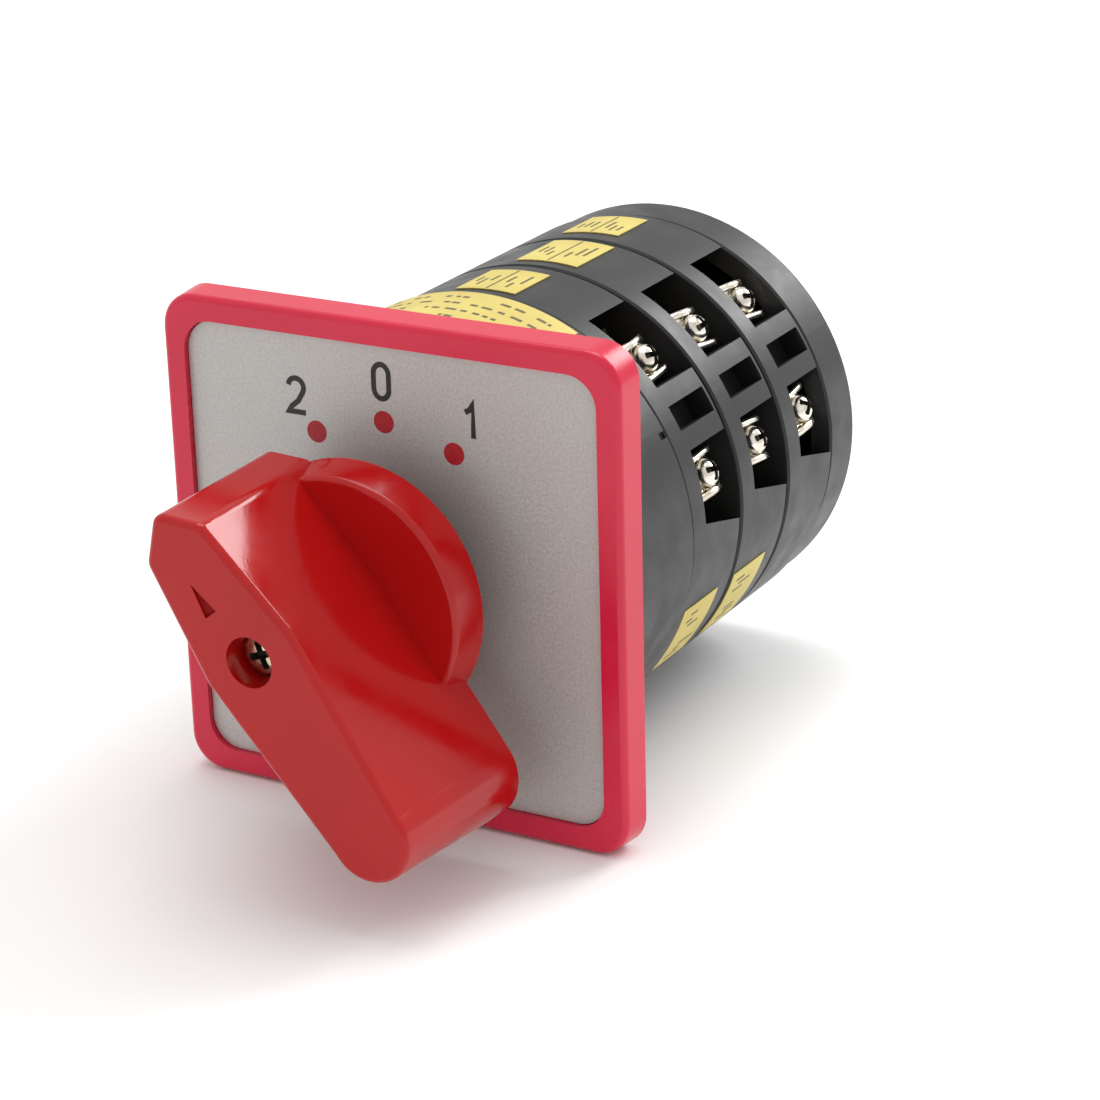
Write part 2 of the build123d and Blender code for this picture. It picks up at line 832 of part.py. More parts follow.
def make_handle():
    """Pointer bar on a round disc, with a hub for the collar and a square socket for the shaft."""
    front = handle_outline(20.2, 15.9, 5.0, 7.3, 5.3, -29.5)
    back = handle_outline(20.6, 16.4, 5.0, 6.8, 6.3, -31.2)
    with BuildPart() as handle:
        with BuildSketch(handle_plane(disc_back)):
            Circle(disc_radius)
        with BuildSketch(handle_plane(disc_front)):
            Circle(disc_front_radius)
        loft(ruled=True)
        fillet(handle.faces().sort_by(Axis.Y)[0].edges(), disc_round)
        with BuildSketch(handle_plane(handle_back)):
            add(back)
        with BuildSketch(handle_plane(handle_front)):
            add(front)
        loft(ruled=True)
        fillet(handle.faces().sort_by(Axis.Y)[0].edges(), handle_edge_round)
        with BuildSketch(handle_plane(handle_hub_end)):
            Circle(handle_hub_radius)
        extrude(amount=handle_hub_end - disc_back)
        with BuildSketch(handle_plane(handle_hub_end)):
            Rectangle(shaft_square + 2 * socket_gap, shaft_square + 2 * socket_gap)
        extrude(amount=handle_hub_end - handle_socket_end, mode=Mode.SUBTRACT)
        with BuildSketch(handle_plane(handle_front)):
            Circle(counterbore_radius)
        extrude(amount=-counterbore_depth, mode=Mode.SUBTRACT)
        with BuildSketch(handle_plane(handle_seat)):
            Circle(handle_screw_shank + 2 * socket_gap)
        extrude(amount=-handle_web, mode=Mode.SUBTRACT)
        with BuildSketch(handle_plane(handle_front)):
            with BuildLine():
                Polyline((-0.9, 11.1), (0.1, 6.9), (-1.8, 6.9), close=True)
            make_face()
        extrude(amount=-arrow_depth, mode=Mode.SUBTRACT)
    return handle


def make_handle_washer():
    with BuildPart() as washer:
        with BuildSketch(handle_plane(handle_seat)):
            Circle(counterbore_radius - 2 * socket_gap)
            Circle(handle_screw_shank + 2 * socket_gap, mode=Mode.SUBTRACT)
        extrude(amount=handle_washer_thickness)
    return washer


def make_handle_screw():
    head_back = handle_seat - handle_washer_thickness
    head_front = head_back - handle_screw_head_height
    with BuildPart() as screw:
        with BuildSketch(handle_plane(head_back)):
            Circle(handle_screw_head)
        extrude(amount=handle_screw_head_height)
        fillet(screw.edges().group_by(Axis.Y)[0], 0.9)
        with BuildSketch(handle_plane(head_back)):
            Circle(handle_screw_shank)
        extrude(amount=-handle_screw_length)
        with BuildSketch(handle_plane(head_front)):
            Rectangle(1.3 * handle_screw_head, cross_width)
            Rectangle(cross_width, 1.3 * handle_screw_head)
        extrude(amount=-cross_depth, mode=Mode.SUBTRACT)
    return screw


# ---------------------------------------------------------------- stickers
def make_rating_label():
    low = front_radius + label_lift
    with BuildPart() as label:
        with BuildSketch(cross_plane(rating_label_depths[1])):
            add(ring_sector(low, low + label_thickness, *rating_label_angles))
        extrude(amount=rating_label_depths[1] - rating_label_depths[0])
    return label


def make_stage_labels():
    low = stage_radius + label_lift
    with BuildPart() as labels:
        for stage in stages:
            start = stage_start(stage)
            label_front, label_rear = upper_label_depths[stage]
            with BuildSketch(cross_plane(start + label_rear)):
                add(ring_sector(low, low + label_thickness, *upper_label_angles[stage]))
            extrude(amount=label_rear - label_front)
        for stage in stages[:2]:
            start = stage_start(stage)
            with BuildSketch(cross_plane(start + lower_label_depths[1])):
                add(ring_sector(low, low + label_thickness, *lower_label_angles))
            extrude(amount=lower_label_depths[1] - lower_label_depths[0])
    return labels


# ---------------------------------------------------------------- build and save
os.makedirs("parts", exist_ok=True)
save("bezel_frame", make_bezel())
save("legend_plate", make_legend())
save("bezel_screws", make_bezel_screws())
save("shaft_collar", make_collar())
save("front_housing", make_front_housing())
save("detent_star", make_detent_star())
save("detent_plungers", make_detent_plungers())
save("detent_springs", make_detent_springs())
for number in stages:
    save(f"stage_housing_{number}", make_stage_housing(number))
    save(f"fixed_contacts_{number}", make_fixed_contacts(number))
    save(f"clamp_washers_{number}", make_clamp_washers(number))
    save(f"terminal_screws_{number}", make_terminal_screws(number))
    save(f"cam_{number}", make_cam(number))
    for contact_side, letter in contact_letters.items():
        save(f"plunger_{number}{letter}", make_plunger(number, contact_side))
        save(f"bridge_{number}{letter}", make_bridge(number, contact_side))
        save(f"contact_spring_{number}{letter}", make_contact_spring(number, contact_side))
save("rear_cover", make_rear_cover())
save("tie_bolts", make_tie_bolts())
save("tie_nuts", make_tie_nuts())
save("shaft", make_shaft())
save("rear_bushing", make_rear_bushing())
save("retaining_clip", make_retaining_clip())
save("handle", make_handle())
save("handle_washer", make_handle_washer())
save("handle_screw", make_handle_screw())
save("rating_label", make_rating_label())
save("stage_labels", make_stage_labels())
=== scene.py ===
"""Looks of the rotary changeover switch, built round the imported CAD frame. Metres, +Z up, front at -Y."""

import json
import math
import random

import bpy
import bmesh
from mathutils import Matrix, Vector


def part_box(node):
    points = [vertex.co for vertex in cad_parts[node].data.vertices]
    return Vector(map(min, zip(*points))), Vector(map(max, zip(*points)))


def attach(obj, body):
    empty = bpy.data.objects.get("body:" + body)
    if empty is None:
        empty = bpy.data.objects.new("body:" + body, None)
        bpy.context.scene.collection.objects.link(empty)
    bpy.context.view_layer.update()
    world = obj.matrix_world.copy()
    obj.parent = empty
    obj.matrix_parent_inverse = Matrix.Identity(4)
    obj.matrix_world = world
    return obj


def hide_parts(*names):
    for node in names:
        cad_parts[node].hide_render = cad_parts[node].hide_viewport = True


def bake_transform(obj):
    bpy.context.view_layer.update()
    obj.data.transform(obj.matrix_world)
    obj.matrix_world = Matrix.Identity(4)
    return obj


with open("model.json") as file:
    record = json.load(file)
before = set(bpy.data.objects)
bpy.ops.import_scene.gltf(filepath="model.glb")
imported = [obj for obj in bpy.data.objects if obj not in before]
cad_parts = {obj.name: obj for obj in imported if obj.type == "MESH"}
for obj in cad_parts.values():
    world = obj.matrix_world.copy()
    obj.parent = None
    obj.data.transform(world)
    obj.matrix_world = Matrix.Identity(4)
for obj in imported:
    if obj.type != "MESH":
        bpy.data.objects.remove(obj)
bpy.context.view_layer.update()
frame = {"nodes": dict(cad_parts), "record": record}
nodes = frame["nodes"]

MM = 0.001
STAGES = (1, 2, 3)
SIDES = (1, -1)

# ---------------------------------------------------------------- places read from the frame
FLOOR_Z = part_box("bezel_frame")[0].z
LEGEND_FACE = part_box("legend_plate")[0].y
RATING_LOW, RATING_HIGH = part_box("rating_label")
FRONT_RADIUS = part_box("front_housing")[1].z
STAGE_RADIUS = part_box("stage_housing_1")[1].z
STAGE_START = {stage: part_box(f"stage_housing_{stage}")[0].y for stage in STAGES}
TERMINAL_Y = {stage: sum(c.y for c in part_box(f"terminal_screws_{stage}")) / 2 for stage in STAGES}

# ---------------------------------------------------------------- sizes of the detailed pieces
# the contact stages' own directions: p points at the terminals, q runs through the moving contacts
CLOCK = math.radians(31)
P_AXIS = Vector((math.cos(CLOCK), 0, math.sin(CLOCK)))
Q_AXIS = Vector((-math.sin(CLOCK), 0, math.cos(CLOCK)))
TERMINAL_Q = 8.1 * MM

# heights along p, out from the switch axis
BLOCK_TOP = 23.6 * MM
HEAD_SEAT = 24.3 * MM

CLAMP_DEPTH = 6.8 * MM
CLAMP_HALF = 2.75 * MM
CLAMP_HEIGHT = 2.4 * MM
CLAMP_FLARE = 0.1 * MM
CLAMP_SHEET = 0.8 * MM
CLAMP_BEND = 0.55 * MM
CLAMP_STATIONS = 15
CLAMP_PLAY = math.radians(7)
LIP_MIDDLE = (0.45, 0.6)  # a lip's middle point, as shares of its flare and its height
OUTER_LIP = 0.75  # height of the lip away from the rib, as a share of the other
OUTER_LIP_DROP = 0.7  # how far each lip falls off towards its two ends
RIB_LIP_DROP = 0.4

TERMINAL_SCREW = {
    "radius": 1.9 * MM,
    "rim": 0.8 * MM,
    "height": 2.5 * MM,
    "shank": 1.25 * MM,
    "length": 8.0 * MM,
    "slot": 0.32 * MM,
    "reach": 1.35 * MM,
    "depth": 1.0 * MM,
}
HANDLE_SCREW = {
    "radius": 2.6 * MM,
    "rim": 1.8 * MM,
    "height": 2.4 * MM,
    "shank": 1.5 * MM,
    "length": 14.0 * MM,
    "slot": 0.38 * MM,
    "reach": 1.7 * MM,
    "depth": 1.1 * MM,
}
HANDLE_SCREW_TURN = math.radians(20)
HEAD_RINGS = 22
HEAD_SIDES = 72

# the arrow pressed into the handle; a dark red sheet on its floor is painted shade for its shadowed walls
ARROW_DEPTH = 0.4 * MM
ARROW_FLOOR_PLAY = 0.02 * MM
ARROW_SHADE_THICKNESS = 0.08 * MM
ARROW_SHADE_FOOT = 0.97  # outline of the painted shade's sheet, as shares of the arrow's
ARROW_SHADE_TOP = 0.86

# ---------------------------------------------------------------- camera
CAMERA_PLACE = Vector((0.1925, -0.3029, 0.1389))
CAMERA_AZIMUTH = math.radians(29.72)
CAMERA_ELEVATION = math.radians(21.04)
CAMERA_ROLL = math.radians(-1.52)
CAMERA_LENS = 102.97


def make_camera():
    data = bpy.data.cameras.new("camera")
    data.lens = CAMERA_LENS
    data.sensor_width = 36.0
    data.clip_start = 0.01
    camera = bpy.data.objects.new("camera", data)
    bpy.context.scene.collection.objects.link(camera)
    forward = Vector(
        (
            -math.cos(CAMERA_ELEVATION) * math.sin(CAMERA_AZIMUTH),
            math.cos(CAMERA_ELEVATION) * math.cos(CAMERA_AZIMUTH),
            -math.sin(CAMERA_ELEVATION),
        )
    )
    level = forward.cross(Vector((0, 0, 1))).normalized()
    above = level.cross(forward)
    right = math.cos(CAMERA_ROLL) * level + math.sin(CAMERA_ROLL) * above
    up = math.cos(CAMERA_ROLL) * above - math.sin(CAMERA_ROLL) * level
    turn = Matrix((right, up, -forward)).transposed().to_4x4()
    camera.matrix_world = Matrix.Translation(CAMERA_PLACE) @ turn
    bpy.context.scene.camera = camera


# ---------------------------------------------------------------- studio
WORLD_COLOUR = (1.0, 0.995, 0.985)
WORLD_STRENGTH = 0.86
FLOOR_REACH = 3.0


def area_light(name, place, target, width, watts):
    """A square soft box at a place, turned to a target."""
    data = bpy.data.lights.new(name, "AREA")
    data.shape = "RECTANGLE"
    data.size = width
    data.size_y = width
    data.energy = watts
    light = bpy.data.objects.new(name, data)
    bpy.context.scene.collection.objects.link(light)
    light.location = place
    light.rotation_euler = (Vector(target) - Vector(place)).to_track_quat("-Z", "Y").to_euler()


def make_floor():
    corners = [(x * FLOOR_REACH, y * FLOOR_REACH, 0) for x, y in ((-1, -1), (1, -1), (1, 1), (-1, 1))]
    mesh = bpy.data.meshes.new("floor")
    mesh.from_pydata(corners, [], [(0, 1, 2, 3)])
    floor = bpy.data.objects.new("floor", mesh)
    bpy.context.scene.collection.objects.link(floor)
    floor.location.z = FLOOR_Z
    floor.data.materials.append(plain_floor())


def make_studio():
    bpy.context.scene.view_settings.view_transform = "Standard"
    world = bpy.data.worlds.new("studio")
    bpy.context.scene.world = world
    world.use_nodes = True
    background = world.node_tree.nodes["Background"]
    background.inputs["Color"].default_value = (*WORLD_COLOUR, 1)
    background.inputs["Strength"].default_value = WORLD_STRENGTH
    area_light("rear_box", place=(0.30, 0.70, 0.50), target=(0, 0.01, 0.01), width=0.40, watts=4.6)
    area_light("top_box", place=(-0.10, 0.15, 0.95), target=(0, 0.03, 0), width=0.6, watts=3.5)
    make_floor()


# ---------------------------------------------------------------- material helpers
class Shader:
    """One node material with a Principled shader and short ways to add texture nodes."""

    def __init__(self, name, colour, roughness, metallic=0.0, specular=0.5):
        self.material = bpy.data.materials.new(name)
        self.material.use_nodes = True
        self.tree = self.material.node_tree
        self.bsdf = self.tree.nodes["Principled BSDF"]
        self.bsdf.inputs["Base Color"].default_value = (*colour, 1)
        self.bsdf.inputs["Roughness"].default_value = roughness
        self.bsdf.inputs["Metallic"].default_value = metallic
        self.bsdf.inputs["Specular IOR Level"].default_value = specular
        self.place = self.tree.nodes.new("ShaderNodeTexCoord").outputs["Object"]
        self.normal = None

    def link(self, output, socket):
        self.tree.links.new(output, socket)

    def noise(self, scale, detail, roughness=0.5):
        node = self.tree.nodes.new("ShaderNodeTexNoise")
        node.inputs["Scale"].default_value = scale
        node.inputs["Detail"].default_value = detail
        node.inputs["Roughness"].default_value = roughness
        self.link(self.place, node.inputs["Vector"])
        return node.outputs["Fac"]

    def spread(self, value, low, high, to_low, to_high):
        """Maps the range from low to high onto the range from to_low to to_high, and clamps it there."""
        node = self.tree.nodes.new("ShaderNodeMapRange")
        node.inputs["From Min"].default_value = low
        node.inputs["From Max"].default_value = high
        node.inputs["To Min"].default_value = to_low
        node.inputs["To Max"].default_value = to_high
        self.link(value, node.inputs["Value"])
        return node.outputs["Result"]

    def mix(self, value, first, second):
        """A colour that goes from the first to the second as value goes from 0 to 1."""
        node = self.tree.nodes.new("ShaderNodeMix")
        node.data_type = "RGBA"
        node.inputs[6].default_value = (*first, 1)
        node.inputs[7].default_value = (*second, 1)
        self.link(value, node.inputs["Factor"])
        return node.outputs[2]

    def mix_into(self, value, first, second):
        """Like mix, but its first colour comes from a node."""
        output = self.mix(value, (0, 0, 0), second)
        self.link(first, output.node.inputs[6])
        return output

    def spread_into(self, value, first, second):
        """A number that goes from a node's output to a constant as value goes from 0 to 1."""
        output = self.spread(value, 0, 1, 0, second)
        self.link(first, output.node.inputs["To Min"])
        return output

    def axis_distance(self):
        """Distance from the switch axis."""
        flat = self.tree.nodes.new("ShaderNodeVectorMath")
        flat.operation = "MULTIPLY"
        flat.inputs[1].default_value = (1, 0, 1)
        self.link(self.place, flat.inputs[0])
        length = self.tree.nodes.new("ShaderNodeVectorMath")
        length.operation = "LENGTH"
        self.link(flat.outputs["Vector"], length.inputs[0])
        return length.outputs["Value"]

    def colour(self, output):
        self.link(output, self.bsdf.inputs["Base Color"])

    def roughness(self, output):
        self.link(output, self.bsdf.inputs["Roughness"])

    def bump(self, height, strength, distance):
        node = self.tree.nodes.new("ShaderNodeBump")
        node.inputs["Strength"].default_value = strength
        node.inputs["Distance"].default_value = distance
        self.link(height, node.inputs["Height"])
        if self.normal is not None:
            self.link(self.normal, node.inputs["Normal"])
        self.normal = node.outputs["Normal"]
        self.link(self.normal, self.bsdf.inputs["Normal"])


# ---------------------------------------------------------------- materials
# painted shade: drum surfaces under the outer radius fade to near black, for the shadow in grooves and
# windows
PAINTED_SHADE_START = 0.2 * MM  # painted shade starts this far under the drum's surface
PAINTED_SHADE_FADE = 0.35 * MM
PAINTED_SHADE_BLACK = (0.0015, 0.0015, 0.0015)


def plain_floor():
    shader = Shader("floor_paper", (0.9, 0.9, 0.9), 0.9)
    shader.bump(shader.noise(900, 2), 0.05, 0.0002)
    return shader.material


def moulded_red(name, colour, deep, roughness, specular=0.5):
    """Glossy moulded plastic: faint flow clouds, an uneven sheen and a fine skin."""
    shader = Shader(name, colour, roughness, specular=specular)
    shader.colour(shader.mix(shader.spread(shader.noise(45, 3), 0.35, 0.7, 0, 1), colour, deep))
    shader.roughness(shader.spread(shader.noise(160, 3), 0.3, 0.7, roughness - 0.05, roughness + 0.06))
    shader.bump(shader.noise(2400, 2), 0.06, 0.0001)
    return shader.material


def charcoal(name, painted_shade_below=None):
    """Satin dark moulding compound with a fine grain; given a distance from the axis, painted shade below it:
    near black and dull, standing in for the shadow in grooves and windows.
    """
    low, high = (0.011, 0.011, 0.0115), (0.018, 0.018, 0.0185)
    shader = Shader(name, low, 0.4, specular=0.42)
    surface = shader.mix(shader.spread(shader.noise(60, 4), 0.3, 0.75, 0, 1), low, high)
    sheen = shader.spread(shader.noise(220, 3), 0.3, 0.7, 0.34, 0.48)
    if painted_shade_below:
        # painted shade: the colour fades to near black with depth under the radius
        depth = shader.spread(shader.axis_distance(), painted_shade_below - PAINTED_SHADE_FADE, painted_shade_below, 1, 0)
        surface = shader.mix_into(depth, surface, PAINTED_SHADE_BLACK)
        sheen = shader.spread_into(depth, sheen, 0.85)
    shader.colour(surface)
    shader.roughness(sheen)
    shader.bump(shader.noise(1800, 3, 0.6), 0.14, 0.00012)
    return shader.material


def satin_legend():
    """Silver print on sheet: a fine sparkling grain."""
    shader = Shader("legend_silver", (0.46, 0.45, 0.44), 0.42, metallic=0.4)
    grain = shader.noise(3000, 2, 0.7)
    shader.colour(shader.mix(shader.spread(grain, 0.3, 0.7, 0, 1), (0.41, 0.40, 0.385), (0.55, 0.54, 0.52)))
    shader.roughness(shader.spread(grain, 0.3, 0.7, 0.4, 0.58))
    shader.bump(grain, 0.12, 0.00008)
    return shader.material


def sticker():
    """Yellow sticker paper: a cloudy print and a faintly uneven face."""
    shader = Shader("yellow_label", (0.60, 0.49, 0.12), 0.5)
    cloud = shader.noise(120, 3)
    shader.colour(shader.mix(shader.spread(cloud, 0.3, 0.7, 0, 1), (0.55, 0.44, 0.10), (0.64, 0.53, 0.14)))
    shader.bump(shader.noise(1500, 2), 0.08, 0.00006)
    return shader.material


def plated(name, colour, tarnish, roughness):
    """Plated metal: brighter and duller patches, an uneven sheen and a finely uneven face."""
    shader = Shader(name, colour, roughness, metallic=1.0)
    shader.colour(shader.mix(shader.spread(shader.noise(700, 3), 0.35, 0.75, 0, 1), colour, tarnish))
    shader.roughness(shader.spread(shader.noise(1500, 3), 0.3, 0.7, roughness - 0.07, roughness + 0.1))
    shader.bump(shader.noise(2600, 2), 0.15, 0.0001)
    return shader.material


def natural_plastic(name, colour):
    """Unpainted plastic of the inner pieces, slightly cloudy."""
    shader = Shader(name, colour, 0.45)
    darker = tuple(0.88 * c for c in colour)
    shader.colour(shader.mix(shader.spread(shader.noise(90, 3), 0.3, 0.7, 0, 1), darker, colour))
    shader.bump(shader.noise(1500, 2), 0.08, 0.0001)
    return shader.material


def ink(name, colour, roughness=0.55, specular=0.5):
    """Flat colour with a faint mottle, for print and for painted shade in recesses."""
    shader = Shader(name, colour, roughness, specular=specular)
    lighter = tuple(1.25 * c + 0.004 for c in colour)
    shader.colour(shader.mix(shader.spread(shader.noise(1500, 2), 0.4, 0.7, 0, 1), colour, lighter))
    return shader.material


MATERIALS = {
    "red_bezel": moulded_red("red_bezel", (0.62, 0.006, 0.045), (0.57, 0.005, 0.038), 0.24),
    "red_handle": moulded_red("red_handle", (0.42, 0.005, 0.005), (0.37, 0.004, 0.004), 0.13, 0.38),
    "legend_silver": satin_legend(),
    "black_plastic": charcoal("black_plastic"),
    "white_plastic": natural_plastic("white_plastic", (0.72, 0.70, 0.64)),
    "plunger_plastic": natural_plastic("plunger_plastic", (0.45, 0.38, 0.28)),
    "yellow_label": sticker(),
    "terminal_nickel": plated("terminal_nickel", (0.90, 0.87, 0.80), (0.62, 0.54, 0.42), 0.2),
    "handle_screw_nickel": plated("handle_screw_nickel", (0.83, 0.76, 0.60), (0.50, 0.38, 0.22), 0.22),
    "zinc_steel": plated("zinc_steel", (0.62, 0.63, 0.64), (0.48, 0.48, 0.47), 0.35),
    "spring_steel": plated("spring_steel", (0.45, 0.44, 0.43), (0.32, 0.31, 0.30), 0.35),
    "contact_brass": plated("contact_brass", (0.78, 0.57, 0.27), (0.55, 0.36, 0.16), 0.32),
}
# the drum's housings, with painted shade in their grooves and windows
FRONT_BLACK_PAINTED_SHADE = charcoal("black_front_painted_shade", FRONT_RADIUS - PAINTED_SHADE_START)
STAGE_BLACK_PAINTED_SHADE = charcoal("black_stage_painted_shade", STAGE_RADIUS - PAINTED_SHADE_START)
# painted shade in the screws' cross recesses
RECESS_PAINTED_SHADE = ink("recess_painted_shade", (0.020, 0.016, 0.010), 0.7, 0.3)
# painted shade in the handle's arrow
ARROW_PAINTED_SHADE = ink("arrow_painted_shade", (0.20, 0.003, 0.003), 0.8, 0.15)
PRINT_BLACK = ink("print_black", (0.008, 0.008, 0.008))
PRINT_RED = ink("print_red", (0.34, 0.003, 0.010))
LABEL_INK = ink("label_ink", (0.10, 0.085, 0.035))


def paint_frame():
    """Gives each carried-over CAD node the material of its slot; the drum's housings get painted shade in
    their grooves and windows.
    """
    drum_materials_with_painted_shade = {f"stage_housing_{stage}": STAGE_BLACK_PAINTED_SHADE for stage in STAGES}
    drum_materials_with_painted_shade["front_housing"] = FRONT_BLACK_PAINTED_SHADE
    for row in frame["record"]["subparts"]:
        node = nodes[row["node"]]
        node.data.materials.clear()
        node.data.materials.append(drum_materials_with_painted_shade.get(row["node"], MATERIALS[row["material_slot"]]))


# ---------------------------------------------------------------- pieces
def arc(centre, radii, start, end, count):
    """Points of an elliptical arc, angles in degrees from +x."""
    points = []
    for step in range(count + 1):
        angle = math.radians(start + (end - start) * step / count)
        points.append((centre[0] + radii[0] * math.cos(angle), centre[1] + radii[1] * math.sin(angle)))
    return points


def new_piece(name, vertices, faces, material, body="drum", smooth=False):
    """A mesh piece on a body, with outward normals."""
    mesh = bpy.data.meshes.new(name)
    mesh.from_pydata([tuple(v) for v in vertices], [], faces)
    shape = bmesh.new()
    shape.from_mesh(mesh)
    bmesh.ops.recalc_face_normals(shape, faces=shape.faces)
    shape.to_mesh(mesh)
    shape.free()
    for face in mesh.polygons:
        face.use_smooth = smooth
    piece = bpy.data.objects.new(name, mesh)
    bpy.context.scene.collection.objects.link(piece)
    mesh.materials.append(material)
    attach(piece, body)
    return piece


# ---------------------------------------------------------------- print on the legend
PRINT_OFFSET = Vector((-0.63, 0, -0.3)) * MM
PRINT_THICKNESS = 0.03 * MM
DIGIT_HEIGHT = 4.8 * MM
DIGIT_PLACES = {0: (-0.75, 24.05), 2: (-13.0, 20.7), 1: (11.6, 20.85)}  # x and z in mm
STROKE_HALF = 0.34 * MM
MITRE_LIMIT = 0.45
DOT_CIRCLE = 19.3 * MM
DOT_RADIUS = 1.4 * MM
DOT_ANGLES = {0: 0, 1: 30, 2: -30}
DOT_SIDES = 40
DOT_RINGS = ((1.0, 0.0), (1.0, 0.5), (0.96, 0.9), (0.6, 1.0))  # shares of the radius and the thickness


def digit_path(digit):
    """Centre line of a digit in a box from -1 to 1 high, and whether it closes."""
    if digit == 0:
        top = arc((0, 0.36), (0.44, 0.53), 0, 180, 14)
        bottom = arc((0, -0.36), (0.44, 0.53), 180, 360, 14)
        return top + bottom[:-1], True
    if digit == 1:
        return [(-0.36, 0.42), (-0.1, 0.56), (0.08, 0.88), (0.08, -0.89)], False
    top = arc((0, 0.42), (0.46, 0.47), 170, -30, 14)
    return top + [(0.1, -0.3), (-0.3, -0.62), (-0.47, -0.89), (0.52, -0.89)], False


def ribbon(path, half, closed):
    """Left and right edges of a flat stroke along a path."""
    edges = []
    count = len(path)
    for i, point in enumerate(path):
        before = path[i - 1] if closed or i > 0 else None
        after = path[(i + 1) % count] if closed or i < count - 1 else None
        along = [Vector(b) - Vector(a) for a, b in ((before, point), (point, after)) if a and b]
        normals = [Vector((-d.y, d.x)).normalized() for d in along]
        normal = sum(normals, Vector((0, 0))).normalized()
        reach = half / max(normal.dot(normals[0]), MITRE_LIMIT)
        edges.append((Vector(point) + normal * reach, Vector(point) - normal * reach))
    return edges


def make_digit(digit, centre):
    """A printed digit: one flat stroke standing just proud of the legend."""
    scale = DIGIT_HEIGHT / 2
    path, closed = digit_path(digit)
    edges = ribbon([(x * scale, z * scale) for x, z in path], STROKE_HALF, closed)
    vertices = []
    for y in (LEGEND_FACE - PRINT_THICKNESS, LEGEND_FACE):
        for pair in edges:
            vertices += [Vector((centre.x + point.x, y, centre.z + point.y)) for point in pair]
    count = len(edges)
    far = 2 * count
    faces = []
    for i in range(count if closed else count - 1):
        a, b = 2 * i, 2 * ((i + 1) % count)
        faces += [(a, a + 1, b + 1, b), (far + a, far + b, far + b + 1, far + a + 1)]
        faces += [(a, b, far + b, far + a), (a + 1, far + a + 1, far + b + 1, b + 1)]
    if not closed:
        last = far - 2
        faces += [(0, far, far + 1, 1), (last, last + 1, last + 1 + far, last + far)]
    new_piece(f"legend_digit_{digit}", vertices, faces, PRINT_BLACK)


def make_dot(number, centre):
    """A printed dot with a softly rounded rim."""
    count = DOT_SIDES
    vertices = []
    for share, height in DOT_RINGS:
        for x, z in arc((centre.x, centre.z), (DOT_RADIUS * share,) * 2, 0, 360, count)[:-1]:
            vertices.append(Vector((x, LEGEND_FACE - PRINT_THICKNESS * height, z)))
    faces = [tuple(range(count)), tuple(range(len(vertices) - count, len(vertices)))]
    for ring in range(len(DOT_RINGS) - 1):
        for i in range(count):
            a, b = ring * count + i, ring * count + (i + 1) % count
            faces.append((a, b, b + count, a + count))
    new_piece(f"legend_dot_{number}", vertices, faces, PRINT_RED)


def make_legend_print():
    for digit, (x, z) in DIGIT_PLACES.items():
        make_digit(digit, Vector((x, 0, z)) * MM)
    for digit, angle in DOT_ANGLES.items():
        turn = math.radians(angle)
        make_dot(digit, Vector((math.sin(turn), 0, math.cos(turn))) * DOT_CIRCLE + PRINT_OFFSET)


# ---------------------------------------------------------------- marks on the stickers
STICKER_TOP = 0.15 * MM  # above the drum
MARK_LIFT = 0.001 * MM
MARK_THICKNESS = 0.02 * MM
MARK_STEP = 1.5  # degrees between a curved bar's vertices

# the rating sticker: angles in degrees above +X
RATING_ROWS = 6
RATING_MARGIN = 1.9 * MM
RATING_PITCH = 2.55 * MM
RATING_BAR = 0.6 * MM
RATING_START = 66.0
RATING_INDENT = 4
RATING_STOP = 145  # no bar starts past this
RATING_EDGE = 146  # and none reaches past this
RATING_WIDTHS = (0.8, 3.2)
RATING_GAPS = (0.6, 1.8)
RATING_SHARE = 0.7  # share of the bars that are printed; the others are gaps between words

# the stage stickers: angles in degrees, and lengths as shares of the sticker's depth
UPPER_ABOVE = 45
DIVIDER_HALF = 0.25
DIVIDER_MARGIN = 0.3 * MM
CELLS = (0.25, 0.75)
STROKE_COLUMNS = (-1.7, 0.2, 2.1)
STROKE_HALF_ANGLE = 0.35
STROKE_STARTS = (0.18, 0.42)
STROKE_LENGTHS = (0.18, 0.4)


def patch(radius, low, high, front, back):
    """Vertices and faces of a thin curved bar on the drum, angles in degrees above +X."""
    steps = max(2, math.ceil((high - low) / MARK_STEP))
    vertices = []
    for step in range(steps + 1):
        angle = math.radians(low + (high - low) * step / steps)
        for reach in (radius, radius + MARK_THICKNESS):
            for y in (front, back):
                vertices.append(Vector((reach * math.cos(angle), y, reach * math.sin(angle))))
    faces = [(0, 1, 3, 2), (4 * steps, 4 * steps + 2, 4 * steps + 3, 4 * steps + 1)]
    for step in range(steps):
        a, b = 4 * step, 4 * step + 4
        faces += [(a + 2, a + 3, b + 3, b + 2), (a, b, b + 1, a + 1)]
        faces += [(a, a + 2, b + 2, b), (a + 1, b + 1, b + 3, a + 3)]
    return vertices, faces


def make_marks(name, patches):
    vertices, faces = [], []
    for more_vertices, more_faces in patches:
        start = len(vertices)
        vertices += more_vertices
        faces += [tuple(start + i for i in face) for face in more_faces]
    new_piece(name, vertices, faces, LABEL_INK)


